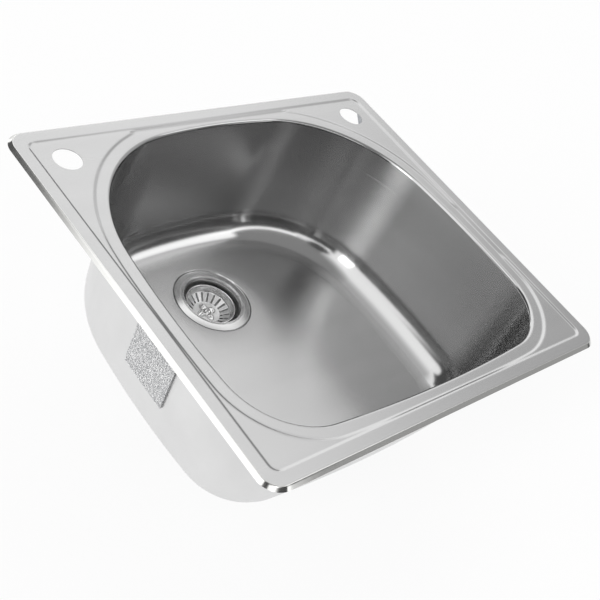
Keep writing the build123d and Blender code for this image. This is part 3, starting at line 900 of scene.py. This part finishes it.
sink_skin(brushed_stainless(), polished_stainless(), mill_stainless())
strainer_cup(turned_stainless(), drawn_stainless())
basket_bowl(pressed_steel, satin_painted_pale_stainless())
knob(pressed_steel)
soft_ring("gasket", [(43.7, -4.0, 0.4), (57.0, -4.0, 0.9), (57.0, -1.0, 0.9), (43.7, -1.0, 0.4)],
          rubber, "strainer_gasket", "black_rubber")
soft_ring("stopper", [(post_hole, -34.0, 0.3), (26.4, -34.0, 1.0), (28.0, -30.4, 1.2),
                      (post_hole, -30.4, 0.3)], rubber, "basket_stopper", "black_rubber", "basket_stem")
for clip in ("left", "right", "front_left", "front_right", "back_left", "back_right"):
    threaded("clip_screw_" + clip, plate)

# The studio

floor_height = -0.2722


def studio_floor():
    """A large white floor, flat, 0.5 mm under the drain's nut. Seen directly or in the steel it
    is mostly its own white, so that the background is white and the sink's shadow stays soft."""
    mesh = bpy.data.meshes.new("studio_floor")
    far, own_white = 6.0, 0.9
    mesh.from_pydata([(-far, -far, floor_height), (far, -far, floor_height), (far, far, floor_height),
                      (-far, far, floor_height)], [], [(0, 1, 2, 3)])
    material, tree, shader = start_material("white paper", Roughness=0.95)
    shader.inputs["Base Color"].default_value = linear("#F2F2F2")
    path = add(tree, "ShaderNodeLightPath")
    seen = maths(tree, path.outputs["Is Camera Ray"], path.outputs["Is Glossy Ray"], "MAXIMUM")
    seen = maths(tree, seen, path.outputs["Is Transmission Ray"], "MAXIMUM")
    share = maths(tree, seen, own_white)
    white = add(tree, "ShaderNodeEmission", {"Color": linear("#FFFFFF"), "Strength": 1.0})
    mixed = add(tree, "ShaderNodeMixShader", {0: share, 1: shader.outputs[0], 2: white.outputs[0]})
    # From below the floor is clear, so that the sink's underside can be looked at.
    below = add(tree, "ShaderNodeNewGeometry").outputs["Backfacing"]
    clear = add(tree, "ShaderNodeBsdfTransparent")
    mixed = add(tree, "ShaderNodeMixShader", {0: below, 1: mixed.outputs[0], 2: clear.outputs[0]})
    output = next(n for n in tree.nodes if n.type == "OUTPUT_MATERIAL")
    tree.links.new(mixed.outputs[0], output.inputs["Surface"])
    mesh.materials.append(material)
    floor = bpy.data.objects.new("studio_floor", mesh)
    bpy.context.scene.collection.objects.link(floor)


# The studio round the sink, in degrees, each part over the ones before it. A round patch has the
# azimuth and elevation of its middle, the angles from there where it starts to fade and is gone,
# and its brightness. A band has its lowest and highest elevation, the azimuth it is centred on,
# its half width there, and its brightness. The second glance is the most that is seen of any of
# them by way of two bright surfaces.
room_level = 1.55
second_glance = 4.0
bands = {
    "dark wall at the front": ((-6, 37), -75, 90, 0.09),
    "row of windows at the front": ((39.5, 43.5), -75, 47, 3.0),
    "end of the row": ((33, 38), -142, 20, 2.0),
    "shaded wall over the windows": ((46, 72), -85, 70, 0.32),
    "dark wall at the back left": ((8, 34), 122, 36, 0.12),
    "tall cupboard at the back": ((8, 56), 112, 26, 0.12),
    "low wall on the far side": ((-4, 12), 25, 45, 0.3),
    "window on the left": ((14, 40), -179, 5, 19.0),
}
patches = {
    "ceiling": ((-80, 78), 20, 42, 0.42),
    "far side of the room": ((0, 26), 4, 34, 0.62),
    "window at the front right": ((-30, 44), 6, 11, 2.0),
    "pale screen at the front right": ((-37, 15), 9, 12, 0.42),
    "small window at the front": ((-55, 17), 4, 7, 1.6),
    "dark corner at the back": ((84, 13), 4, 10, 0.10),
    "window high on the left": ((150, 46), 9, 18, 1.6),
    "camera and its stand": ((-149, 46), 6, 12, 0.10),
}


def direction(azimuth, elevation):
    """A unit vector from an azimuth and an elevation in degrees."""
    az, el = np.radians(azimuth), np.radians(elevation)
    return np.cos(el) * np.cos(az), np.cos(el) * np.sin(az), np.sin(el)


def studio_world():
    """A round studio: an even pale room with the windows and dark sides that bright steel needs
    to show its shape."""
    world = bpy.data.worlds.new("studio")
    world.use_nodes = True
    tree = world.node_tree
    tree.nodes.clear()
    place = add(tree, "ShaderNodeTexCoord").outputs["Generated"]
    height = add(tree, "ShaderNodeSeparateXYZ", {0: place}).outputs[2]
    level = room_level
    blur, side_blur = 2, 3
    for (low, high), azimuth, half, strength in bands.values():
        flat = add(tree, "ShaderNodeVectorMath", {0: place, 1: (1.0, 1.0, 0.0)}, operation="MULTIPLY")
        flat = add(tree, "ShaderNodeVectorMath", {0: flat.outputs[0]}, operation="NORMALIZE")
        facing = add(tree, "ShaderNodeVectorMath", {0: flat.outputs[0], 1: direction(azimuth, 0)},
                     operation="DOT_PRODUCT").outputs["Value"]
        share = fade(tree, height, *np.sin(np.radians([low - blur, low + blur])))
        top = fade(tree, height, *np.sin(np.radians([high + blur, high - blur])))
        side = fade(tree, facing, *np.cos(np.radians([half + side_blur, max(half - side_blur, 0)])))
        for part in (top, side):
            share = maths(tree, share, part)
        level = add(tree, "ShaderNodeMix", {0: share, 2: level, 3: strength}).outputs[0]
    for middle, full, gone, strength in patches.values():
        near = add(tree, "ShaderNodeVectorMath", {0: place, 1: direction(*middle)}, operation="DOT_PRODUCT")
        share = fade(tree, near.outputs["Value"], np.cos(np.radians(gone)), np.cos(np.radians(full)))
        level = add(tree, "ShaderNodeMix", {0: share, 2: level, 3: strength}).outputs[0]
    # A ray's depth is 1 where the steel shows the room and 2 where it shows other steel that does.
    # Windows are held back there, because they would only leave specks.
    path = add(tree, "ShaderNodeLightPath")
    second = maths(tree, path.outputs["Ray Depth"], 1.5, "GREATER_THAN")
    held = maths(tree, level, second_glance, "MINIMUM")
    level = add(tree, "ShaderNodeMix", {0: second, 2: level, 3: held}).outputs[0]
    light = add(tree, "ShaderNodeBackground", {"Color": linear("#FFFFFF"), "Strength": level})
    white = add(tree, "ShaderNodeBackground", {"Color": linear("#FFFFFF"), "Strength": 1.0})
    both = add(tree, "ShaderNodeMixShader", {0: path.outputs["Is Camera Ray"], 1: light.outputs[0],
                                             2: white.outputs[0]})
    add(tree, "ShaderNodeOutputWorld", {"Surface": both.outputs[0]})
    bpy.context.scene.world = world


def photo_camera():
    """The camera of the photograph: 1.38 m from the sink, above its front left corner."""
    data = bpy.data.cameras.new("photo_camera")
    data.sensor_width = 36.0
    data.lens = 63.8826
    data.clip_end = 50.0
    camera = bpy.data.objects.new("photo_camera", data)
    right = (0.702861, -0.591389, 0.395280)
    down = (-0.218727, -0.708453, -0.671009)
    ahead = (0.676864, 0.385167, -0.627296)
    place = Matrix.Identity(4)
    for row in range(3):
        place[row][0] = right[row]
        place[row][1] = -down[row]
        place[row][2] = -ahead[row]
    place.translation = (-0.970010, -0.563665, 0.809887)
    camera.matrix_world = place
    bpy.context.scene.collection.objects.link(camera)
    bpy.context.scene.camera = camera


studio_floor()
studio_world()
photo_camera()
bpy.context.scene.view_settings.view_transform = "Standard"
